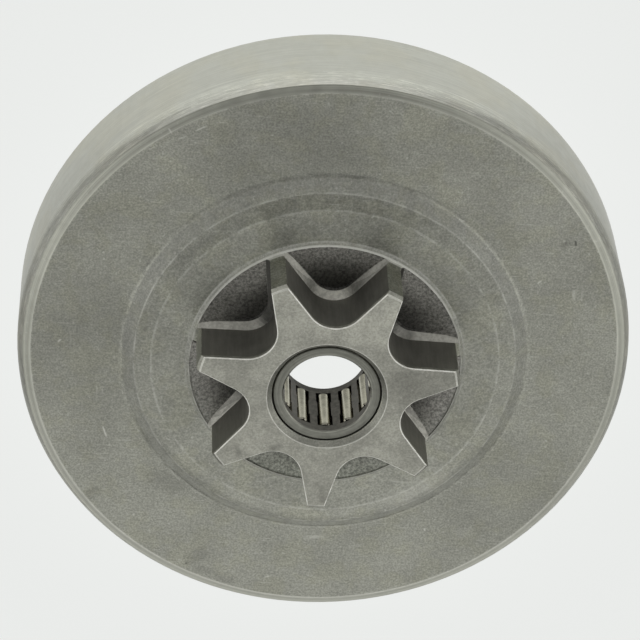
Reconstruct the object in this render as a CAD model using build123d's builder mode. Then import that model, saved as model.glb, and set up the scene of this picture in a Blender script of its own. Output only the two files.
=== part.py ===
"""Chainsaw clutch drum: a cup with a spur sprocket cast on its face, and the needle bearing in its bore.

The open rim stands on the plane z = 0, the axis is Z, and the sprocket points up.
One tooth points along -Y.
"""
import os
from math import acos, cos, radians, sin, tan

from build123d import *

# Cup
drum_outer_d = 74.0
wall_thickness = 2.5
drum_depth = 12.6
web_thickness = 2.6
inner_corner = 1.2
rim_chamfer = 0.4

# Front edge of the cup: a shallow turned shoulder, then a corner that runs into the wall
shoulder_width = 0.95
shoulder_drop = 0.35
corner_width = 0.7
corner_r = 2.6

# Raised centre of the face, from the hole outwards: a narrow lip, a flat, a gentle slope and a slope
hole_clearance = 0.45
lip_width = 0.55
flat_width = 4.05
gentle_width = 2.05
slope_width = 1.65
slope_rise = 1.4
slope_foot_r = 0.9
gentle_rise = 0.38
lip_rise = 0.52

# Sprocket
tooth_count = 7
tooth_height = 6.7
tip_d = 31.7
tip_land = 2.1
tip_chamfer_width = 0.4
tip_chamfer_height = 0.5
flank_half_angle = 13.6
root_d = 18.7
ledge_rise = 0.4
cutter_overrun = 0.6
edge_break = 0.12

# Shallow pockets left by the casting between the teeth, each with a ledge that slopes into it
ledge_width = 0.93
ledge_drop = 0.68
pocket_half_angle = 42.4
pocket_root_r = 2.8
pocket_draft = 0.5
pocket_rim_drop = 0.15
pocket_floor_tilt = 5.0

# Bore and needle bearing
shaft_d = 10.0
roller_d = 1.5
roller_length = 7.0
roller_count = 12
roller_phase = 3.3
roller_end_chamfer = 0.15
running_clearance = 0.05
bore_chamfer_width = 0.6
bearing_recess = 0.68
cage_length = 9.8
cage_clearance = 0.15
cage_side_gap = 0.2
cage_edge_chamfer = 0.12
window_clearance = 0.16
nib_clearance = 0.06
nib_length = 3.0

# Levels above the rim
floor_z = drum_depth - web_thickness
face_z = drum_depth
gentle_z = face_z + slope_rise
flat_z = gentle_z + gentle_rise
lip_z = flat_z + lip_rise
ledge_z = lip_z + ledge_rise
pocket_mouth_z = ledge_z - ledge_drop
pocket_rim_z = lip_z - pocket_rim_drop
sprocket_z = ledge_z + tooth_height
cage_top_z = sprocket_z - bearing_recess
cage_bottom_z = cage_top_z - cage_length
cage_middle_z = (cage_top_z + cage_bottom_z) / 2
roller_bottom_z = cage_middle_z - roller_length / 2

# Radii of the running fits, from the shaft outwards
roller_pitch_r = (shaft_d + roller_d) / 2
bore_r = roller_pitch_r + roller_d / 2 + running_clearance
cage_inner_r = shaft_d / 2 + cage_side_gap
cage_outer_r = bore_r - cage_clearance

# Radii of the face, from the teeth outwards to the wall
tip_r = tip_d / 2
tip_face_r = tip_r - tip_chamfer_width
hole_r = tip_r + hole_clearance
lip_r = hole_r + lip_width
flat_r = lip_r + flat_width
gentle_r = flat_r + gentle_width
slope_r = gentle_r + slope_width
drum_outer_r = drum_outer_d / 2
drum_inner_r = drum_outer_r - wall_thickness
shoulder_r = drum_outer_r - corner_width
face_r = shoulder_r - shoulder_width

# The corner arc leaves the shoulder and ends tangent to the wall
corner_turn = acos(1 - corner_width / corner_r)
corner_z = face_z - shoulder_drop - corner_r * sin(corner_turn)

# A tooth space is a V with a rounded bottom, centred half a pitch from the tooth along -Y
half_pitch = 180 / tooth_count
first_tooth = -90
first_space = first_tooth + half_pitch
space_half_angle = half_pitch + flank_half_angle
flank_reach = tip_land / 2 + tip_face_r * tan(radians(flank_half_angle))
space_apex = flank_reach / (
    sin(radians(half_pitch)) + cos(radians(half_pitch)) * tan(radians(flank_half_angle))
)
space_root_r = (root_d / 2 - space_apex) / (1 / sin(radians(space_half_angle)) - 1)

# A pocket is a wider V, one ledge further out at its mouth, over a floor that falls towards the axis as a cone
pocket_apex = root_d / 2 + ledge_width - pocket_root_r * (1 / sin(radians(pocket_half_angle)) - 1)
pocket_base_z = pocket_rim_z - hole_r * tan(radians(pocket_floor_tilt))
space_end_r = hole_r + cutter_overrun


def add_space(sketch, apex, half_angle, root_r):
    """Add a V with a rounded bottom to the sketch, opening along X."""
    half_width = (space_end_r - apex) * tan(radians(half_angle))
    Polygon((apex, 0), (space_end_r, -half_width), (space_end_r, half_width), align=None)
    fillet(sketch.vertices().sort_by(Axis.X)[0], radius=root_r)


os.makedirs("parts", exist_ok=True)

# The space between two teeth, straight down to its ledge
with BuildPart() as tooth_space:
    with BuildSketch(Plane.XY.offset(ledge_z)) as outline:
        add_space(outline, space_apex, space_half_angle, space_root_r)
    extrude(amount=tooth_height)

# The pocket under it: the ledge slopes from the tooth space to the mouth, and the draft runs on to the coned floor
with BuildPart() as pocket:
    with BuildSketch(Plane.XY.offset(ledge_z)) as ledge:
        add_space(ledge, space_apex, space_half_angle, space_root_r)
    with BuildSketch(Plane.XY.offset(pocket_mouth_z)) as mouth:
        add_space(mouth, pocket_apex, pocket_half_angle, pocket_root_r)
    with BuildSketch(Plane.XY.offset(pocket_base_z)) as base:
        add_space(base, pocket_apex + pocket_draft, pocket_half_angle, pocket_root_r)
    loft(ruled=True)
    with BuildSketch(Plane.XZ):
        Polygon((0, pocket_base_z), (hole_r, pocket_rim_z), (hole_r, ledge_z), (0, ledge_z), align=None)
    revolve(axis=Axis.Z, mode=Mode.INTERSECT)

# The drum, one casting: turned cup and blank, then the tooth spaces and the pockets
with BuildPart() as drum:
    with BuildSketch(Plane.XZ) as section:
        with BuildLine():
            Polyline(
                (drum_outer_r, corner_z),
                (drum_outer_r, rim_chamfer),
                (drum_outer_r - rim_chamfer, 0),
                (drum_inner_r + rim_chamfer, 0),
                (drum_inner_r, rim_chamfer),
                (drum_inner_r, floor_z - inner_corner),
                (drum_inner_r - inner_corner, floor_z),
                (bore_r + rim_chamfer, floor_z),
                (bore_r, floor_z + rim_chamfer),
                (bore_r, cage_top_z),
                (bore_r + bore_chamfer_width, sprocket_z),
                (tip_face_r, sprocket_z),
                (tip_r, sprocket_z - tip_chamfer_height),
                (tip_r, ledge_z),
                (hole_r, ledge_z),
                (hole_r, lip_z),
                (lip_r, flat_z),
                (flat_r, flat_z),
                (gentle_r, gentle_z),
                (slope_r, face_z),
                (face_r, face_z),
                (shoulder_r, face_z - shoulder_drop),
            )
            RadiusArc((shoulder_r, face_z - shoulder_drop), (drum_outer_r, corner_z), corner_r)
        make_face()
        fillet(section.vertices().sort_by_distance((slope_r, face_z))[0], radius=slope_foot_r)
    revolve(axis=Axis.Z)
    with PolarLocations(0, tooth_count, start_angle=first_space):
        add(tooth_space.part, mode=Mode.SUBTRACT)
    tooth_outline = drum.faces().filter_by(Axis.Z).sort_by(Axis.Z)[-1].outer_wire().edges()
    chamfer(tooth_outline, edge_break)
    with PolarLocations(0, tooth_count, start_angle=first_space):
        add(pocket.part, mode=Mode.SUBTRACT)
drum.part.label = "drum"
export_step(drum.part, "parts/drum.step")

# The bearing cage: a ring with one window for each roller, narrower at the nibs half way along
window_length = roller_length + 2 * window_clearance
end_length = (window_length - nib_length) / 2
end_offset = (nib_length + end_length) / 2
with BuildPart() as cage:
    with BuildSketch(Plane.XY.offset(cage_bottom_z)):
        Circle(cage_outer_r)
        Circle(cage_inner_r, mode=Mode.SUBTRACT)
    extrude(amount=cage_length)
    chamfer(cage.edges().filter_by(GeomType.CIRCLE), cage_edge_chamfer)
    for middle_z, height, side_clearance in (
        (cage_middle_z, window_length, nib_clearance),
        (cage_middle_z - end_offset, end_length, window_clearance),
        (cage_middle_z + end_offset, end_length, window_clearance),
    ):
        with BuildSketch(Plane.XY.offset(middle_z)):
            with PolarLocations(roller_pitch_r, roller_count, start_angle=first_tooth + roller_phase):
                Rectangle(2 * roller_d, roller_d + 2 * side_clearance)
        extrude(amount=height / 2, both=True, mode=Mode.SUBTRACT)
cage.part.label = "needle_cage"
export_step(cage.part, "parts/needle_cage.step")

# The needle rollers, each in its window
for number in range(1, roller_count + 1):
    angle = first_tooth + roller_phase + (number - 1) * 360 / roller_count
    centre = Vector(roller_pitch_r, 0, roller_bottom_z).rotate(Axis.Z, angle)
    with BuildPart() as roller:
        with BuildSketch(Plane(origin=centre)):
            Circle(roller_d / 2)
        extrude(amount=roller_length)
        chamfer(roller.edges().filter_by(GeomType.CIRCLE), roller_end_chamfer)
    name = f"needle_roller_{number:02d}"
    roller.part.label = name
    export_step(roller.part, f"parts/{name}.step")
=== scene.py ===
"""Looks of a chainsaw clutch drum: the finishes of its casting and needle bearing, and a pale studio."""

from math import cos, pi, radians, sin
from types import SimpleNamespace

import bpy
import numpy as np
from mathutils import Matrix, Vector

bl_info = {
    "name": "Clutch Drum Looks",
    "version": (1, 0, 0),
    "blender": (4, 5, 0),
    "location": "View3D > Sidebar > Clutch Drum",
    "description": "Finishes a packed chainsaw clutch drum and sets up its studio",
    "category": "Object",
}

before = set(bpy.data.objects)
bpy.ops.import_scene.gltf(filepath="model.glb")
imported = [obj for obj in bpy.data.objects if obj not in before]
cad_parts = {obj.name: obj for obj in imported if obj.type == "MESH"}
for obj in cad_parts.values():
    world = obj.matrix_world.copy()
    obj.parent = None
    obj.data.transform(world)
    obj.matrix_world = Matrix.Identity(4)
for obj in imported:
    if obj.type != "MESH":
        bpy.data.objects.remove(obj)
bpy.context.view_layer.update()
ROLLERS = sorted(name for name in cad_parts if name.startswith("needle_roller"))
MM = 0.001
PICTURE = 640  # side of the picture in pixels
SENSOR = 36  # width of the camera's sensor in mm
FLOOR_GAP = 0.02 * MM  # from the rim down to the floor
SIZE_ENDINGS = ("_r", "_level", "_foot", "_head")  # of the properties that are radii and levels
FULL_LENGTH, FULL_WIDTH = 0.4, 0.2  # shares of a mark's half sizes that have its full strength
NOISE_SPAN = (0.3, 0.7)  # where most values of a noise lie

# Single marks on the casting, from short scratches to wide soft patches that make it lighter or darker: middle
# (mm), turn (radians), half length and half width (mm), strength
BRIGHT_MARKS = (
    ((-16.94, 29.68), 0.52, 0.83, 0.14, 0.45),
    ((-19.03, 28.34), 0.48, 0.70, 0.16, 0.30),
    ((-25.78, -12.50), -1.23, 1.02, 0.16, 0.60),
    ((-31.89, 0.04), 0.81, 0.36, 0.18, 0.60),
    ((24.73, 11.94), 0.77, 0.40, 0.16, 0.50),
    ((29.06, 10.48), -1.45, 0.90, 0.34, 0.32),
    ((30.03, 10.34), -1.48, 0.90, 0.14, 0.22),
    ((-20.53, 29.09), -0.86, 0.40, 0.16, 0.80),
    ((-27.06, -6.56), -1.50, 0.92, 0.12, 0.25),
    ((-26.39, -6.72), -1.52, 0.71, 0.12, 0.22),
    ((0.57, -26.25), 0.19, 1.30, 0.36, 0.18),
    ((6.22, -27.19), 0.23, 1.20, 0.36, 0.15),
    ((-4.36, -32.52), 0.45, 0.42, 0.14, 0.45),
    ((14.63, -24.21), -1.47, 0.26, 0.16, 0.55),
    ((12.7, -17.5), 0.62, 6.5, 2.4, 0.14),
    ((19.7, -24.4), 0.30, 1.6, 1.1, 0.10),
    ((1.5, -26.2), 0.10, 1.3, 0.4, 0.16),
    ((23.6, 21.7), 0.30, 5.5, 4.5, 0.05),
)
DARK_MARKS = (
    ((28.41, 17.50), -1.37, 0.46, 0.20, 0.55),
    ((27.27, 17.28), 0.52, 1.00, 0.60, 0.20),
    ((-14.56, -31.14), 0.06, 0.20, 0.20, 0.45),
    ((-12.35, -31.98), -0.32, 1.80, 0.80, 0.12),
    ((-10.99, -22.31), -0.43, 1.90, 0.70, 0.10),
    ((-4.6, 29.0), 0.14, 13.0, 9.0, 0.15),
    ((-29.4, 0.3), 0.14, 12.0, 13.0, 0.12),
    ((24.6, -17.7), 0.14, 11.0, 11.0, 0.09),
    ((-26.8, -21.5), 0.90, 1.8, 1.3, 0.15),
    ((-18.0, -19.3), -0.40, 3.2, 2.0, 0.13),
    ((-13.4, -30.0), 0.60, 2.2, 1.4, 0.14),
    ((-9.7, -33.1), -0.30, 1.8, 0.9, 0.12),
    ((10.6, 21.5), -0.50, 5.0, 3.0, 0.07),
)
TOOTH_MARKS = (
    ((-9.94, -8.26), -1.26, 1.20, 0.55, 0.22),
    ((-5.34, -7.39), 0.54, 1.10, 0.60, 0.22),
    ((0.67, -13.91), -1.44, 1.60, 0.60, 0.16),
    ((10.8, 2.5), 0.14, 5.5, 4.5, 0.24),
)
# Painted shadows on the ledges, where the teeth keep the light off them, with the same columns
PAINTED_LEDGE_SHADOWS = (
    ((-7.3, 6.6), 0.90, 2.0, 1.4, 0.38),
    ((8.8, 5.2), -0.60, 2.2, 1.4, 0.42),
)


def colour(name, description, default):
    """A colour that a user may change."""
    return bpy.props.FloatVectorProperty(
        name=name, description=description, subtype="COLOR", size=3, min=0, max=1, default=default
    )


def length(name, description, default):
    """A length in metres, given here in millimetres."""
    return bpy.props.FloatProperty(
        name=name, description=description, subtype="DISTANCE", unit="LENGTH", min=0, default=default * MM
    )


def share(name, description, default, top):
    """A plain number from 0 to top."""
    return bpy.props.FloatProperty(name=name, description=description, min=0, max=top, default=default)


def millimetres(settings):
    """The radii and levels of a group, in millimetres."""
    keys = [key for key in settings.bl_rna.properties.keys() if key.endswith(SIZE_ENDINGS)]
    return SimpleNamespace(**{key: getattr(settings, key) / MM for key in keys})


class CastingFinish(bpy.types.PropertyGroup):
    """Colours of the casting, and the radii and levels where one finish ends and the next begins."""

    face_colour: colour("Face", "Blasted steel of the drum's face", (0.325, 0.329, 0.286))
    wall_colour: colour("Wall", "Turned steel of the drum's wall", (0.592, 0.592, 0.532))
    inside_colour: colour("Inside", "Turned steel inside the cup", (0.48, 0.48, 0.43))
    tooth_colour: colour("Teeth", "Ground steel of the sprocket's face", (0.36, 0.36, 0.313))
    flank_colour: colour("Flanks", "Dark steel of the tooth spaces", (0.235, 0.23, 0.205))
    ledge_colour: colour("Ledges", "Bright broached ledges under the teeth", (0.62, 0.61, 0.545))
    pocket_colour: colour("Pockets", "Grey skin of the cast pockets", (0.33, 0.325, 0.297))
    # Edges: also the colour of the painted highlights and of the painted light on the lip's inner wall
    edge_colour: colour("Edges", "Bare steel on rubbed edges", (0.68, 0.68, 0.62))
    drum_r: length("Drum radius", "Outside of the drum's wall", 37)
    face_edge_r: length("Face radius", "Where the face meets the turned shoulder", 35.35)
    shoulder_r: length("Shoulder radius", "Where the shoulder meets the corner of the wall", 36.3)
    slope_r: length("Slope radius", "Foot of the slope on the face", 24.6)
    gentle_r: length("Gentle slope radius", "Foot of the gentle slope", 22.95)
    flat_r: length("Flat radius", "Outer edge of the flat round the sprocket", 20.9)
    lip_r: length("Lip radius", "Foot of the lip round the hole", 16.85)
    hole_r: length("Hole radius", "Edge of the hole in the lip", 16.3)
    tip_r: length("Tip radius", "Tips of the teeth", 15.85)
    bore_r: length("Bore radius", "Outer edge of the chamfer round the bore", 7.15)
    floor_level: length("Floor level", "Inside of the web above the rim", 10.0)
    ledge_level: length("Ledge level", "Foot of the tooth spaces above the rim", 15.3)
    mouth_level: length("Mouth level", "Mouth of the pockets above the rim", 14.62)
    sprocket_level: length("Sprocket level", "Face of the sprocket above the rim", 22.0)


class BearingFinish(bpy.types.PropertyGroup):
    """Colours of the needle bearing, and its radii and levels."""

    cage_colour: colour("Cage end", "Machined steel of the cage's end ring", (0.160, 0.162, 0.139))
    bar_colour: colour("Cage bars", "Dark steel of the bars between the rollers", (0.18, 0.172, 0.15))
    roller_colour: colour("Rollers", "Ground bearing steel", (0.72, 0.69, 0.555))
    inner_r: length("Inner radius", "Inside of the cage", 5.2)
    outer_r: length("Outer radius", "Outside of the cage", 6.4)
    end_level: length("End level", "End ring of the cage above the rim", 21.32)
    roller_foot: length("Roller foot", "Lower ends of the rollers above the rim", 12.92)
    roller_head: length("Roller head", "Upper ends of the rollers above the rim", 19.92)


class StudioSettings(bpy.types.PropertyGroup):
    """Floor, light and camera."""

    floor_colour: colour("Floor", "Pale paper under the drum", (0.85, 0.866, 0.85))
    floor_size: length("Floor size", "Side of the square floor", 3000)
    sky: share("Sky", "Brightness of the studio's ceiling and walls", 0.02, 2)
    back: share("Back lamp", "Radiance of the soft box behind the drum", 1.48, 20)
    front: share("Front lamp", "Radiance of the soft box on the camera's side", 1.0, 20)
    left: share("Left lamp", "Radiance of the soft box on the left", 2.05, 20)
    right: share("Right lamp", "Radiance of the soft box on the right", 2.10, 20)
    lamp_size: length("Lamp size", "Height of each soft box", 600)
    lamp_distance: length("Lamp distance", "From the drum to each soft box", 700)
    distance: length("Distance", "From the camera to the middle of the face", 419.92)
    lens: length("Lens", "Focal length of the camera", 195.97)
    tilt: bpy.props.FloatProperty(
        name="Tilt", description="Lean of the view from the drum's axis", subtype="ANGLE", default=0.5305
    )
    roll: bpy.props.FloatProperty(
        name="Roll", description="Turn of the picture", subtype="ANGLE", default=-0.0651
    )
    turn: bpy.props.FloatProperty(
        name="Turn", description="Turn of the drum about its axis", subtype="ANGLE", default=radians(8.2)
    )
    centre: bpy.props.FloatVectorProperty(
        name="Centre",
        description="Place of the face's middle in the picture, in picture widths from its middle",
        size=2, default=(4.3816 / PICTURE, 35.994 / PICTURE)
    )
    face_level: length("Face level", "Face of the drum above the rim", 12.6)


class FinishDesk:
    """One material and short calls that add and join its nodes."""

    def __init__(self, name):
        self.material = bpy.data.materials.new(name)
        self.material.use_nodes = True
        self.tree = self.material.node_tree
        self.tree.nodes.clear()
        self.shader = self.add("ShaderNodeBsdfPrincipled")
        output = self.add("ShaderNodeOutputMaterial")
        self.tree.links.new(self.shader.outputs[0], output.inputs["Surface"])

    def add(self, kind, **settings):
        """A new node with these settings."""
        node = self.tree.nodes.new(kind)
        for key, value in settings.items():
            setattr(node, key, value)
        return node

    def feed(self, socket, value):
        """Join a socket to another node's output, or set its constant."""
        if isinstance(value, bpy.types.NodeSocket):
            self.tree.links.new(value, socket)
        elif socket.type == "RGBA" and len(value) == 3:
            socket.default_value = (*value, 1)
        else:
            socket.default_value = value

    def sum_up(self, operation, *values):
        """One Math node."""
        node = self.add("ShaderNodeMath", operation=operation)
        for socket, value in zip(node.inputs, values):
            self.feed(socket, value)
        return node.outputs[0]

    def times(self, *values):
        """Product of several numbers."""
        product = values[0]
        for value in values[1:]:
            product = self.sum_up("MULTIPLY", product, value)
        return product

    def plus(self, a, b):
        """Sum of two numbers."""
        return self.sum_up("ADD", a, b)

    def flip(self, mask):
        """One minus the mask."""
        return self.sum_up("SUBTRACT", 1.0, mask)

    def rise(self, x, low, high, to_low=0.0, to_high=1.0, straight=False):
        """Smooth or straight step from to_low below low to to_high above high."""
        node = self.add("ShaderNodeMapRange", interpolation_type="LINEAR" if straight else "SMOOTHSTEP")
        for key, value in (("From Min", low), ("From Max", high), ("To Min", to_low), ("To Max", to_high)):
            node.inputs[key].default_value = value
        self.feed(node.inputs["Value"], x)
        return node.outputs[0]

    def follow(self, noise, low, high):
        """A number from low to high that follows a noise."""
        return self.rise(noise, *NOISE_SPAN, low, high)

    def band(self, x, low, high, soft):
        """1 between low and high, with soft edges."""
        return self.times(
            self.rise(x, low - soft, low + soft), self.flip(self.rise(x, high - soft, high + soft))
        )

    def blend(self, mask, a, b):
        """Colour a where the mask is 0 and b where it is 1."""
        node = self.add("ShaderNodeMix", data_type="RGBA")
        self.feed(node.inputs["Factor"], mask)
        self.feed(node.inputs[6], a)
        self.feed(node.inputs[7], b)
        return node.outputs[2]

    def blend_number(self, mask, a, b):
        """Number a where the mask is 0 and b where it is 1."""
        node = self.add("ShaderNodeMix", data_type="FLOAT")
        for socket, value in zip((node.inputs["Factor"], node.inputs[2], node.inputs[3]), (mask, a, b)):
            self.feed(socket, value)
        return node.outputs[0]

    def tinted(self, tint, cast):
        """Colour times a colour."""
        node = self.add("ShaderNodeVectorMath", operation="MULTIPLY")
        self.feed(node.inputs[0], tint)
        self.feed(node.inputs[1], cast)
        return node.outputs[0]

    def shade(self, tint, amount):
        """Colour times a number."""
        node = self.add("ShaderNodeVectorMath", operation="SCALE")
        self.feed(node.inputs[0], tint)
        self.feed(node.inputs["Scale"], amount)
        return node.outputs[0]

    def vary(self, tint, noise, low, high):
        """Colour times a number from low to high that follows a noise."""
        return self.shade(tint, self.follow(noise, low, high))

    def radius(self, x, y):
        """Distance from the drum's axis."""
        return self.sum_up("SQRT", self.plus(self.times(x, x), self.times(y, y)))

    def place(self):
        """Object coordinates in millimetres: the vector and its three numbers."""
        spot = self.add("ShaderNodeTexCoord").outputs["Object"]
        scaled = self.add("ShaderNodeVectorMath", operation="SCALE")
        self.feed(scaled.inputs[0], spot)
        scaled.inputs["Scale"].default_value = 1 / MM
        parts = self.add("ShaderNodeSeparateXYZ")
        self.feed(parts.inputs[0], scaled.outputs[0])
        return scaled.outputs[0], *parts.outputs

    def gather(self, x, y, z):
        """A vector of three numbers."""
        node = self.add("ShaderNodeCombineXYZ")
        for socket, value in zip(node.inputs, (x, y, z)):
            self.feed(socket, value)
        return node.outputs[0]

    def grain(self, vector, scale, detail=2.0, roughness=0.5):
        """Noise from 0 to 1 with about scale grains for each unit of the vector."""
        node = self.add("ShaderNodeTexNoise")
        for key, value in (("Scale", scale), ("Detail", detail), ("Roughness", roughness)):
            node.inputs[key].default_value = value
        self.feed(node.inputs["Vector"], vector)
        return node.outputs[0]

    def scratches(self, vector, turn, across, along, low, high):
        """Thin straight marks at an angle: noise squeezed across and stretched along, and only its peaks."""
        mapping = self.add("ShaderNodeMapping")
        mapping.inputs["Rotation"].default_value = (0, 0, turn)
        mapping.inputs["Scale"].default_value = (along, across, across)
        self.feed(mapping.inputs["Vector"], vector)
        return self.rise(self.grain(mapping.outputs[0], 1.0, 1.0), low, high)

    def profile(self, x, low, high, stops):
        """A curve of straight runs through the stops, each a place between low and high and its value."""
        node = self.add("ShaderNodeValToRGB")
        points = node.color_ramp.elements
        points.remove(points[0])
        for index, (place, value) in enumerate(stops):
            at = (place - low) / (high - low)
            point = points[0] if index == 0 else points.new(at)
            point.position = at
            point.color = (value, value, value, 1)
        self.feed(node.inputs[0], self.rise(x, low, high, straight=True))
        return node.outputs[0]

    def mark(self, x, y, middle, turn, half_length, half_width):
        """One short scratch or spot on the face: its middle in millimetres, its turn and its half sizes."""
        right = self.sum_up("SUBTRACT", x, middle[0])
        top = self.sum_up("SUBTRACT", y, middle[1])
        along = self.plus(self.times(right, cos(turn)), self.times(top, sin(turn)))
        across = self.sum_up("SUBTRACT", self.times(top, cos(turn)), self.times(right, sin(turn)))
        far = self.sum_up("ABSOLUTE", along)
        wide = self.sum_up("ABSOLUTE", across)
        return self.times(
            self.rise(far, FULL_LENGTH * half_length, half_length, 1.0, 0.0),
            self.rise(wide, FULL_WIDTH * half_width, half_width, 1.0, 0.0),
        )

    def facing(self):
        """How far the surface faces along each axis, from -1 to 1."""
        parts = self.add("ShaderNodeSeparateXYZ")
        self.feed(parts.inputs[0], self.add("ShaderNodeNewGeometry").outputs["True Normal"])
        return parts.outputs

    def relief(self, height, depth):
        """Bump of the given depth in millimetres, joined to the shader."""
        node = self.add("ShaderNodeBump")
        node.inputs["Strength"].default_value = 1.0
        node.inputs["Distance"].default_value = depth * MM
        self.feed(node.inputs["Height"], height)
        self.feed(self.shader.inputs["Normal"], node.outputs[0])


def clothe(names, material):
    """Give one material to the named CAD nodes."""
    for name in names:
        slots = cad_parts[name].data.materials
        slots.clear()
        slots.append(material)


class CastingDesk(FinishDesk):
    """The casting's material: where each finish lies, the patterns in it, and its colours."""

    def __init__(self, made):
        super().__init__("casting_steel")
        self.made = made
        self.size = millimetres(made)
        # Bare steel for rubbed marks, and for painted highlights
        self.bare_steel_and_highlight = tuple(made.edge_colour)
        self.spot, self.x, self.y, self.z = self.place()
        self.r = self.radius(self.x, self.y)
        _, self.ahead, self.up = self.facing()
        self.lay_zones()
        self.lay_sprocket_zones()
        self.lay_patterns()

    def lay_zones(self):
        """Masks of the drum's own finishes."""
        size, r = self.size, self.r
        self.front = self.rise(self.z, size.floor_level + 0.9, size.floor_level + 1.1)
        self.outer = self.rise(r, size.shoulder_r - 0.02, size.shoulder_r + 0.04)
        self.inside = self.times(self.flip(self.front), self.flip(self.outer))
        self.centre = self.times(self.front, self.flip(self.rise(r, size.hole_r - 0.03, size.hole_r - 0.01)))
        self.flat = self.times(self.front, self.flip(self.centre))
        self.lower = self.rise(self.y, -18.0, -4.0, 1.0, 0.0)  # the side at the picture's foot
        slope = self.times(self.front, self.band(r, size.gentle_r, size.slope_r - 0.25, 0.12))
        lip = self.times(self.front, self.band(r, size.hole_r - 0.1, size.lip_r, 0.06))
        self.dull = self.plus(slope, lip)
        # Painted light on the lip's inner wall on the lower side, which the teeth keep in shadow
        self.painted_brink_light = self.times(
            self.front, self.lower, self.flip(self.rise(self.up, 0.2, 0.5)),
            self.band(r, size.hole_r - 0.08, size.hole_r + 0.05, 0.02),
        )

    def lay_sprocket_zones(self):
        """Masks of the finishes inside the hole in the lip."""
        size, r, z, up = self.size, self.r, self.z, self.up
        self.bore = self.flip(self.rise(r, size.bore_r - 0.02, size.bore_r))
        beyond_bore = self.flip(self.bore)
        self.top = self.times(self.centre, self.rise(z, size.sprocket_level - 0.6, size.sprocket_level - 0.55))
        tooth_edge = self.times(
            self.top, beyond_bore, self.band(up, 0.3, 0.9, 0.05),
            self.rise(z, size.sprocket_level - 0.13, size.sprocket_level - 0.11),
        )
        bore_edge = self.times(self.top, 0.5, self.band(r, size.bore_r - 0.06, size.bore_r + 0.06, 0.03))
        rubbing = self.rise(self.grain(self.spot, 0.9, 3.0, 0.6), 0.36, 0.6, 0.66, 1.0)
        self.edge = self.times(self.plus(tooth_edge, bore_edge), rubbing)
        self.ledge = self.times(
            self.centre, self.band(up, 0.4, 0.93, 0.03),
            self.band(z, size.mouth_level, size.ledge_level + 0.03, 0.02),
        )
        self.flank = self.times(
            self.centre, self.flip(self.rise(up, 0.9, 0.97)), self.flip(self.top), beyond_bore,
            self.rise(z, size.ledge_level - 0.01, size.ledge_level + 0.01),
            self.flip(self.rise(r, size.tip_r - 0.1, size.tip_r - 0.05)),
        )
        self.hollow = self.times(
            self.centre, beyond_bore, self.flip(self.ledge),
            self.flip(self.rise(z, size.ledge_level - 0.03, size.ledge_level - 0.01)),
        )

    def lay_patterns(self):
        """Noises that several finishes share."""
        self.round_x = self.sum_up("DIVIDE", self.x, self.r)
        self.round_y = self.sum_up("DIVIDE", self.y, self.r)
        self.across = self.sum_up("SUBTRACT", self.z, self.r)
        self.streaks = self.turned(9.0, 4.5, 3.0)
        self.rings = self.turned(2.0, 8.0, 2.0)
        self.clouds = self.grain(self.spot, 0.14, 3.0, 0.55)
        self.mottle = self.grain(self.spot, 0.8, 3.0, 0.6)
        self.flecks = self.grain(self.spot, 1.9, 2.0, 0.6)
        self.fine = self.grain(self.spot, 4.2, 2.0, 0.6)
        self.skin = self.grain(self.spot, 3.0, 3.0, 0.75)
        self.wear_and_highlight = self.wear_and_highlight_rings()

    def turned(self, along, over, detail):
        """Turned lines round the axis: noise on the unit circle and on the distance across them."""
        vector = self.gather(
            self.times(self.round_x, along), self.times(self.round_y, along), self.times(self.across, over)
        )
        return self.grain(vector, 1.0, detail, 0.6)

    def wear_and_highlight_rings(self):
        """Bright rings where one turned zone meets the next, partly rubbed steel and partly painted highlight,
        broken up along their length.
        """
        size = self.size
        circle = self.gather(self.times(self.round_x, 12.0), self.times(self.round_y, 12.0), self.r)
        breaks = self.rise(self.grain(circle, 1.0, 3.0), 0.32, 0.62)
        stops = []
        for radius, half, height in (
            (size.hole_r + 0.12, 0.2, 1.0), (size.lip_r - 0.1, 0.3, 0.3), (size.flat_r, 0.14, 0.65),
            (size.gentle_r, 0.14, 0.55), (size.slope_r, 0.4, 0.15), (size.face_edge_r, 0.1, 0.8),
        ):
            stops += [(radius - half, 0.0), (radius, height), (radius + half, 0.0)]
        return self.times(self.profile(self.r, 0.0, size.drum_r, stops), self.front, breaks)

    def marked(self, places, where):
        """Single marks inside one zone, each times its strength."""
        total = 0.0
        for middle, turn, half_length, half_width, strength in places:
            mark = self.mark(self.x, self.y, middle, turn, half_length, half_width)
            total = self.plus(total, self.times(mark, strength))
        return self.times(total, where)

    def face(self):
        """Blasted face with a thin warm film."""
        tint = self.vary(tuple(self.made.face_colour), self.clouds, 0.93, 1.08)
        tint = self.vary(tint, self.mottle, 0.91, 1.08)
        tint = self.vary(tint, self.flecks, 0.94, 1.06)
        tint = self.shade(tint, self.rise(self.fine, 0.25, 0.75, 0.77, 1.22))
        film = self.rise(self.grain(self.spot, 0.3, 3.0, 0.6), 0.45, 0.62, 0.0, 0.35)
        return self.blend(film, tint, self.tinted(tint, (1.03, 1.02, 0.91)))

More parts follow.
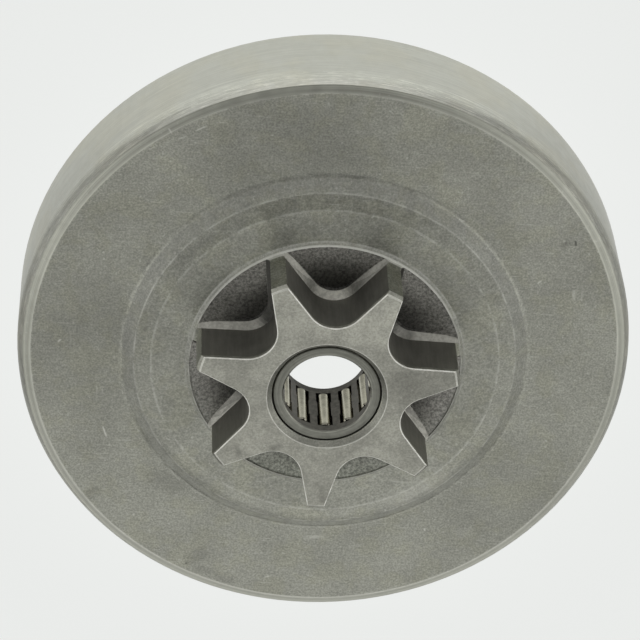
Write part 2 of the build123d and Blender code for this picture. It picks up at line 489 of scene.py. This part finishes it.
    def wall(self):
        """Turned wall, with thin lines and nicks towards its front edge, a warm film, and painted shade where
        it faces away from y.
        """
        z, web = self.z, self.size.floor_level
        tint = self.vary(tuple(self.made.wall_colour), self.streaks, 0.95, 1.04)
        tint = self.vary(tint, self.rings, 0.95, 1.05)
        tint = self.shade(tint, self.rise(z, web - 1.0, web + 1.5, 0.98, 1.05))
        lines = self.follow(self.turned(5.0, 11.0, 2.0), -1.0, 1.0)
        lines = self.times(lines, self.rise(z, 7.0, web + 1.0, 0.02, 0.14))
        tint = self.shade(tint, self.plus(1.0, lines))
        nicks = self.rise(self.turned(22.0, 10.0, 2.0), 0.56, 0.64)
        nicks = self.times(nicks, self.rise(z, web - 0.8, web + 1.0))
        tint = self.shade(tint, self.plus(1.0, self.times(nicks, 0.32)))
        # Painted shade: darker where the wall faces away from y
        tint = self.shade(tint, self.rise(self.ahead, 0.55, 1.0, 0.92, 1.01))
        film = self.rise(self.clouds, 0.42, 0.62, 0.0, 0.4)
        return self.blend(film, tint, self.tinted(tint, (1.03, 1.0, 0.93)))

    def bowl(self):
        """Turned inside of the cup."""
        tint = self.vary(tuple(self.made.inside_colour), self.streaks, 0.90, 1.08)
        return self.vary(tint, self.rings, 0.92, 1.06)

    def slopes(self, tint):
        """Dull slopes and lip, with painted shade and light across the lower slope, and a painted highlight on
        the rim round the hole.
        """
        size = self.size
        tint = self.shade(tint, self.blend_number(self.dull, 1.0, 0.84))
        # Painted shade and light across the lower slope: darkest just inside the foot of the gentle slope,
        # lightest about a millimetre outside it
        past_bend = self.sum_up("SUBTRACT", self.r, size.gentle_r)
        painted_bend_light_and_shade = self.profile(past_bend, -0.95, 2.05, [
            (-0.9, 1.0), (-0.55, 0.87), (-0.2, 0.76), (0.0, 0.84), (0.1, 0.93), (0.45, 1.06), (0.95, 1.12),
            (1.25, 1.04), (1.65, 0.97), (2.0, 1.0),
        ])
        tint = self.shade(tint, self.blend_number(self.times(self.front, self.lower), 1.0, painted_bend_light_and_shade))
        # Painted highlight on the rim round the hole, strongest towards +y and on the lower side
        rim = self.times(self.front, self.band(self.r, size.hole_r - 0.02, size.hole_r + 0.2, 0.04))
        painted_rim_light = self.plus(self.rise(self.y, 4.0, 15.0, 0.0, 0.55), self.times(self.lower, 0.32))
        return self.blend(self.times(rim, painted_rim_light), tint, self.bare_steel_and_highlight)

    def corner(self, tint):
        """Turned shoulder round the face, with bright lines that are painted highlights, and a painted
        highlight on its lower side.
        """
        size = self.size
        lathe = self.vary(tuple(self.made.face_colour), self.rings, 0.9, 1.08)
        ring = self.times(self.front, self.band(self.r, size.face_edge_r, size.shoulder_r, 0.03))
        tint = self.blend(ring, tint, lathe)
        past_face = self.sum_up("SUBTRACT", self.r, size.face_edge_r)
        # Painted highlights: bright lines across the shoulder
        shoulder = self.profile(past_face, -0.35, 1.65, [
            (-0.15, 1.0), (-0.05, 1.1), (0.05, 1.65), (0.15, 1.45), (0.3, 1.3), (0.45, 1.25), (0.55, 1.5),
            (0.62, 1.3), (0.72, 1.6), (0.85, 1.4), (0.93, 1.2), (1.0, 1.0),
        ])
        tint = self.shade(tint, self.blend_number(self.front, 1.0, shoulder))
        # Painted highlight of bare steel on the shoulder's lower side
        painted_glint = self.profile(past_face, -0.35, 1.65, [
            (-0.12, 0.0), (0.02, 0.5), (0.14, 0.25), (0.35, 0.12), (1.1, 0.22), (1.6, 0.22),
        ])
        return self.blend(self.times(self.front, self.lower, painted_glint), tint, self.bare_steel_and_highlight)

    def teeth(self):
        """Ground face of the sprocket, with painted light on its upper part, dim on the chamfer of the bore.
        """
        tint = self.vary(tuple(self.made.tooth_colour), self.grain(self.spot, 0.35, 3.0, 0.6), 0.86, 1.12)
        tint = self.shade(tint, self.rise(self.fine, 0.25, 0.75, 0.82, 1.16))
        tint = self.vary(tint, self.mottle, 0.93, 1.06)
        # Painted light: the upper part of the sprocket face is lighter
        tint = self.shade(tint, self.rise(self.y, 5.5, 10.0, 1.0, 1.14))
        return self.shade(tint, self.blend_number(self.bore, 1.0, 0.85))

    def used(self, tint):
        """Scratches, specks and single marks."""
        scored = self.sum_up(
            "MAXIMUM",
            self.scratches(self.spot, 0.5, 6.0, 0.22, 0.69, 0.77),
            self.scratches(self.spot, 2.1, 7.0, 0.28, 0.70, 0.78),
        )
        specks = self.rise(self.grain(self.spot, 2.2, 1.0), 0.68, 0.78)
        bright = self.marked(BRIGHT_MARKS, self.flat)
        for mask in (self.times(scored, 0.22), self.times(specks, 0.25), bright):
            tint = self.blend(mask, tint, self.bare_steel_and_highlight)
        dark = self.plus(self.marked(DARK_MARKS, self.flat), self.marked(TOOTH_MARKS, self.top))
        return self.shade(tint, self.flip(dark))

    def flanks(self):
        """Dark broached flanks of the tooth spaces."""
        vector = self.gather(self.times(self.x, 2.2), self.times(self.y, 2.2), self.times(self.z, 0.25))
        return self.vary(tuple(self.made.flank_colour), self.grain(vector, 1.0, 3.0, 0.6), 0.9, 1.08)

    def ledges(self):
        """Broached ledges with painted light and shade: bright where they face along y and brighter on the
        lower side, dim at both sides, and with painted shadows at single marks.
        """
        tint = self.vary(tuple(self.made.ledge_colour), self.grain(self.spot, 3.0, 2.0, 0.6), 0.85, 1.12)
        # Painted light: brightness by the way each ledge faces, and more of it on the lower ledges
        tint = self.shade(tint, self.rise(self.ahead, 0.32, 0.58, 0.22, 1.0))
        tint = self.shade(tint, self.rise(self.y, -4.0, 4.0, 1.5, 1.0))
        tint = self.shade(tint, self.rise(self.sum_up("ABSOLUTE", self.x), 3.5, 7.0, 1.0, 0.66))
        return self.shade(tint, self.flip(self.marked(PAINTED_LEDGE_SHADOWS, self.ledge)))

    def pockets(self):
        """Cast skin, with painted shade that makes it dark near the teeth, and grey towards the rim."""
        tip_r = self.size.tip_r
        tint = self.vary(tuple(self.made.pocket_colour), self.skin, 0.55, 1.45)
        # Painted shade: darker towards the teeth, which keep light out of the pockets
        tint = self.shade(tint, self.rise(self.r, tip_r - 4.8, tip_r - 0.8, 0.36, 1.05))
        return self.blend(self.lower, tint, self.tinted(tint, (0.99, 1.04, 0.98)))

    def rubbed(self, tint):
        """Bare steel on the bright rings, which are partly painted highlight, on the chipped corner of the
        wall and on the sprocket's edges.
        """
        shoulder_r = self.size.shoulder_r
        chips = self.times(
            self.front, self.band(self.r, shoulder_r + 0.1, shoulder_r + 0.6, 0.1),
            self.rise(self.turned(40.0, 3.0, 2.0), 0.54, 0.64),
        )
        # Bright rings: rubbed steel and painted highlight
        tint = self.blend(self.times(self.wear_and_highlight, 0.8), tint, self.bare_steel_and_highlight)
        tint = self.blend(self.times(chips, 0.6), tint, self.bare_steel_and_highlight)
        return self.blend(self.edge, tint, self.shade(self.bare_steel_and_highlight, 1.25))

    def paint(self):
        """Lay every finish over the one before it."""
        tint = self.blend(self.outer, self.face(), self.wall())
        tint = self.blend(self.inside, tint, self.bowl())
        tint = self.corner(self.slopes(tint))
        tint = self.used(self.blend(self.top, tint, self.teeth()))
        for zone, finish in (
            (self.flank, self.flanks()), (self.ledge, self.ledges()), (self.hollow, self.pockets()),
            # Painted light on the lip's inner wall
            (self.painted_brink_light, self.shade(self.bare_steel_and_highlight, 1.4)),
        ):
            tint = self.blend(zone, tint, finish)
        self.feed(self.shader.inputs["Base Color"], self.rubbed(tint))

    def polish(self):
        """Turned faces are smoother than blasted ones, and the cast skin is the roughest."""
        bare = self.sum_up("MAXIMUM", self.edge, self.times(self.wear_and_highlight, 0.5))
        bare = self.sum_up("MAXIMUM", bare, self.times(self.dull, 0.85))
        self.feed(self.shader.inputs["Metallic"], self.flip(self.times(bare, self.flip(self.painted_brink_light))))
        lathed = self.plus(self.outer, self.inside)
        gloss = self.follow(self.mottle, 0.52, 0.62)
        gloss = self.plus(gloss, self.times(lathed, self.follow(self.streaks, -0.16, -0.06)))
        gloss = self.plus(gloss, self.times(self.hollow, 0.12))
        self.feed(self.shader.inputs["Roughness"], self.blend_number(self.painted_brink_light, gloss, 0.15))

        # Relief in shares of the depth: blasting, turning, casting skin
        height = self.times(self.mottle, self.rise(self.outer, 0.0, 1.0, 0.3, 0.04))
        height = self.plus(self.times(self.fine, 0.3), height)
        height = self.plus(height, self.times(self.streaks, lathed, 0.3))
        height = self.plus(height, self.times(self.skin, self.hollow, 1.2))
        self.relief(height, 0.03)


class DRUM_OT_finish_casting(bpy.types.Operator):
    """Give the casting its turned, blasted, ground and as-cast finishes."""

    bl_idname = "drum.finish_casting"
    bl_label = "Finish Casting"

    def execute(self, context):
        desk = CastingDesk(context.scene.casting_finish)
        desk.paint()
        desk.polish()
        clothe(["drum"], desk.material)
        return {"FINISHED"}


class DRUM_OT_finish_cage(bpy.types.Operator):
    """Give the bearing cage a machined end ring and dark bars."""

    bl_idname = "drum.finish_cage"
    bl_label = "Finish Cage"

    def execute(self, context):
        made = context.scene.bearing_finish
        size = millimetres(made)
        desk = FinishDesk("cage_steel")
        spot, x, y, z = desk.place()
        r = desk.radius(x, y)
        end = desk.rise(z, size.end_level - 0.16, size.end_level - 0.04)
        rings = desk.grain(
            desk.gather(desk.sum_up("DIVIDE", x, r), desk.sum_up("DIVIDE", y, r), desk.times(r, 7.0)), 1.0, 2.0
        )
        mottle = desk.grain(spot, 1.6, 3.0, 0.6)
        ring = desk.vary(tuple(made.cage_colour), rings, 0.82, 1.15)
        inner, outer = size.inner_r, size.outer_r
        # Painted highlight along the ring's inner edge, and darker towards its outer edge
        ring = desk.shade(ring, desk.profile(r, inner, outer, [
            (inner + 0.05, 1.3), (inner + 0.25, 1.25), (inner + 0.4, 1.0),
            (outer - 0.5, 1.05), (outer - 0.2, 0.9), (outer - 0.05, 0.8),
        ]))
        bars = desk.vary(tuple(made.bar_colour), mottle, 0.7, 1.3)
        desk.feed(desk.shader.inputs["Base Color"], desk.blend(end, bars, ring))
        desk.shader.inputs["Metallic"].default_value = 1.0
        desk.feed(desk.shader.inputs["Roughness"], desk.follow(mottle, 0.34, 0.46))
        desk.relief(desk.plus(desk.times(rings, 0.5), desk.times(mottle, 0.5)), 0.01)
        clothe(["needle_cage"], desk.material)
        return {"FINISHED"}


class DRUM_OT_finish_rollers(bpy.types.Operator):
    """Give the needle rollers ground and polished steel."""

    bl_idname = "drum.finish_rollers"
    bl_label = "Finish Rollers"

    def execute(self, context):
        made = context.scene.bearing_finish
        size = millimetres(made)
        desk = FinishDesk("roller_steel")
        spot, x, y, z = desk.place()
        ground = desk.grain(desk.gather(desk.times(x, 2.0), desk.times(y, 2.0), desk.times(z, 14.0)), 1.0, 2.0)
        film = desk.grain(spot, 0.9, 2.0, 0.6)
        tint = desk.vary(tuple(made.roller_colour), film, 0.85, 1.08)
        # Painted shade on both ends of each roller, down to 0.3 of the colour
        unshaded_barrel = desk.band(z, size.roller_foot + 0.2, size.roller_head - 0.2, 0.08)
        tint = desk.shade(tint, desk.rise(unshaded_barrel, 0.0, 1.0, 0.3, 1.0))
        desk.feed(desk.shader.inputs["Base Color"], desk.vary(tint, ground, 0.95, 1.03))
        desk.shader.inputs["Metallic"].default_value = 1.0
        desk.feed(desk.shader.inputs["Roughness"], desk.follow(film, 0.16, 0.28))
        desk.relief(ground, 0.002)
        clothe(ROLLERS, desk.material)
        return {"FINISHED"}


def spin(angle):
    """Turn about the third axis."""
    c, s = cos(angle), sin(angle)
    return np.array([[c, -s, 0], [s, c, 0], [0, 0, 1]])


def sheet_surface(name, half, level):
    """A flat square at one level: (u, v) goes to (u, v, level) on a grid of two by two points."""
    u, v = np.meshgrid((-half, half), (-half, half))
    points = np.stack([u.ravel(), v.ravel(), np.full(4, level)], axis=1)
    mesh = bpy.data.meshes.new(name)
    mesh.from_pydata(points.tolist(), [], [(0, 1, 3, 2)])
    piece = bpy.data.objects.new(name, mesh)
    bpy.context.scene.collection.objects.link(piece)
    return piece


class DRUM_OT_build_stage(bpy.types.Operator):
    """Set up the pale floor, the soft lamps and the camera."""

    bl_idname = "drum.build_stage"
    bl_label = "Build Stage"

    def execute(self, context):
        made = context.scene.studio_settings
        scene = context.scene
        scene.view_settings.view_transform = "Standard"
        self.floor(made)
        self.sky(scene, made)
        axes = self.camera(scene, made)
        self.lamps(scene, made, axes)
        return {"FINISHED"}

    def floor(self, made):
        """Pale paper that glows for the camera, with painted shade in the zones that the drum mirrors."""
        piece = sheet_surface("floor", made.floor_size / 2, -FLOOR_GAP)
        desk = FinishDesk("floor_paper")
        desk.shader.inputs["Roughness"].default_value = 0.9
        desk.feed(desk.shader.inputs["Base Color"], tuple(made.floor_colour))
        glow = desk.add("ShaderNodeEmission")
        desk.feed(glow.inputs["Color"], tuple(made.floor_colour))
        rays = desk.add("ShaderNodeLightPath").outputs
        mirrored = rays["Is Glossy Ray"]
        straight = desk.sum_up("MAXIMUM", rays["Is Camera Ray"], rays["Is Transmission Ray"])
        _, x, y, _ = desk.place()
        r = desk.radius(x, y)
        c, s = cos(made.turn), sin(made.turn)
        right = desk.sum_up("ABSOLUTE", desk.plus(desk.times(x, c), desk.times(y, s)))
        top = desk.sum_up("SUBTRACT", desk.times(y, c), desk.times(x, s))
        # Painted shade in the floor's glow for reflections, at the drum's sides, behind it and under it: zones
        # in millimetres from the axis
        sides = desk.times(desk.rise(right, 24.0, 38.0, 1.0, 0.86), desk.rise(right, 38.0, 58.0, 1.0, 0.28))
        behind = desk.rise(top, -80.0, -36.0, 0.3, 1.0)
        under = desk.times(desk.rise(r, 5.0, 9.0, 0.42, 1.0), desk.rise(r, 33.0, 36.0, 0.75, 1.0))
        shaded = desk.times(sides, behind, under)
        desk.feed(glow.inputs["Strength"], desk.blend_number(mirrored, 1.0, shaded))
        mixer = desk.add("ShaderNodeMixShader")
        direct = desk.times(straight, desk.rise(r, 34.0, 60.0, 0.98, 0.85))
        desk.feed(mixer.inputs[0], desk.sum_up("MAXIMUM", direct, desk.times(mirrored, 0.95)))
        desk.feed(mixer.inputs[1], desk.shader.outputs[0])
        desk.feed(mixer.inputs[2], glow.outputs[0])
        output = next(node for node in desk.tree.nodes if node.type == "OUTPUT_MATERIAL")
        desk.feed(output.inputs["Surface"], mixer.outputs[0])
        piece.data.materials.append(desk.material)

    def sky(self, scene, made):
        """Plain dim light from all round, and the floor's colour where the camera looks past it."""
        world = bpy.data.worlds.new("studio")
        scene.world = world
        world.use_nodes = True
        nodes, links = world.node_tree.nodes, world.node_tree.links
        plain = nodes["Background"]
        plain.inputs["Color"].default_value = (1, 1, 1, 1)
        plain.inputs["Strength"].default_value = made.sky
        paper = nodes.new("ShaderNodeBackground")
        paper.inputs["Color"].default_value = (*made.floor_colour, 1)
        rays = nodes.new("ShaderNodeLightPath")
        mixer = nodes.new("ShaderNodeMixShader")
        links.new(rays.outputs["Is Camera Ray"], mixer.inputs[0])
        links.new(plain.outputs[0], mixer.inputs[1])
        links.new(paper.outputs[0], mixer.inputs[2])
        links.new(mixer.outputs[0], nodes["World Output"].inputs["Surface"])

    def camera(self, scene, made):
        """Stand the camera from the picture's own measures, and give the face's two axes and its normal."""
        c, s = cos(made.tilt), sin(made.tilt)
        lean = np.array([[1, 0, 0], [0, -c, s], [0, -s, -c]])
        seen = spin(made.roll) @ lean
        focus = made.lens / (SENSOR * MM)
        middle = made.distance * np.array([made.centre[0] / focus, made.centre[1] / focus, 1.0])
        axes = spin(made.turn)
        right, down, ahead = seen @ axes.T
        eye = np.array([0, 0, made.face_level]) - axes @ seen.T @ middle
        data = bpy.data.cameras.new("camera")
        data.sensor_width = SENSOR
        data.lens = made.lens / MM
        data.clip_start = 0.01
        data.clip_end = 20
        camera = bpy.data.objects.new("camera", data)
        scene.collection.objects.link(camera)
        turned = np.eye(4)
        turned[:3, :3] = np.stack([right, -down, -ahead], axis=1)
        turned[:3, 3] = eye
        camera.matrix_world = Matrix(turned.tolist())
        scene.camera = camera
        return axes

    def lamps(self, scene, made, axes):
        """Four soft boxes that face the drum."""
        # Name, radiance, shares of the picture's right and top, climb (degrees), width for height
        for name, radiance, right, top, climb, width in (
            ("back_lamp", made.back, 0.0, -1.0, 42.0, 1.4),
            ("front_lamp", made.front, 0.0, 1.0, 22.0, 1.9),
            ("left_lamp", made.left, -1.0, 0.0, 30.0, 1.0),
            ("right_lamp", made.right, 1.0, 0.0, 30.0, 1.0),
        ):
            data = bpy.data.lights.new(name, "AREA")
            data.shape = "RECTANGLE"
            data.size = width * made.lamp_size
            data.size_y = made.lamp_size
            data.energy = radiance * pi * data.size * data.size_y
            lamp = bpy.data.objects.new(name, data)
            scene.collection.objects.link(lamp)
            level = cos(radians(climb)) * (right * axes[:, 0] + top * axes[:, 1])
            spot = made.lamp_distance * Vector((level[0], level[1], sin(radians(climb))))
            lamp.location = spot
            lamp.rotation_mode = "QUATERNION"
            lamp.rotation_quaternion = (-spot).to_track_quat("-Z", "Y")


class DRUM_PT_looks(bpy.types.Panel):
    """Sidebar panel with the steps and their settings."""

    bl_idname = "DRUM_PT_looks"
    bl_label = "Clutch Drum"
    bl_space_type = "VIEW_3D"
    bl_region_type = "UI"
    bl_category = "Clutch Drum"

    def draw(self, context):
        for step in STEPS:
            self.layout.operator(step.bl_idname)
        for group in ("casting_finish", "bearing_finish", "studio_settings"):
            settings = getattr(context.scene, group)
            for key in settings.bl_rna.properties.keys():
                if key not in ("name", "rna_type"):
                    self.layout.prop(settings, key)


STEPS = (DRUM_OT_build_stage, DRUM_OT_finish_casting, DRUM_OT_finish_cage, DRUM_OT_finish_rollers)
CLASSES = (CastingFinish, BearingFinish, StudioSettings, *STEPS, DRUM_PT_looks)


def register():
    for made in CLASSES:
        bpy.utils.register_class(made)
    bpy.types.Scene.casting_finish = bpy.props.PointerProperty(type=CastingFinish)
    bpy.types.Scene.bearing_finish = bpy.props.PointerProperty(type=BearingFinish)
    bpy.types.Scene.studio_settings = bpy.props.PointerProperty(type=StudioSettings)


def unregister():
    del bpy.types.Scene.casting_finish
    del bpy.types.Scene.bearing_finish
    del bpy.types.Scene.studio_settings
    for made in reversed(CLASSES):
        bpy.utils.unregister_class(made)


def main():
    register()
    bpy.ops.drum.build_stage()
    bpy.ops.drum.finish_casting()
    bpy.ops.drum.finish_cage()
    bpy.ops.drum.finish_rollers()


if __name__ == "__main__":
    main()
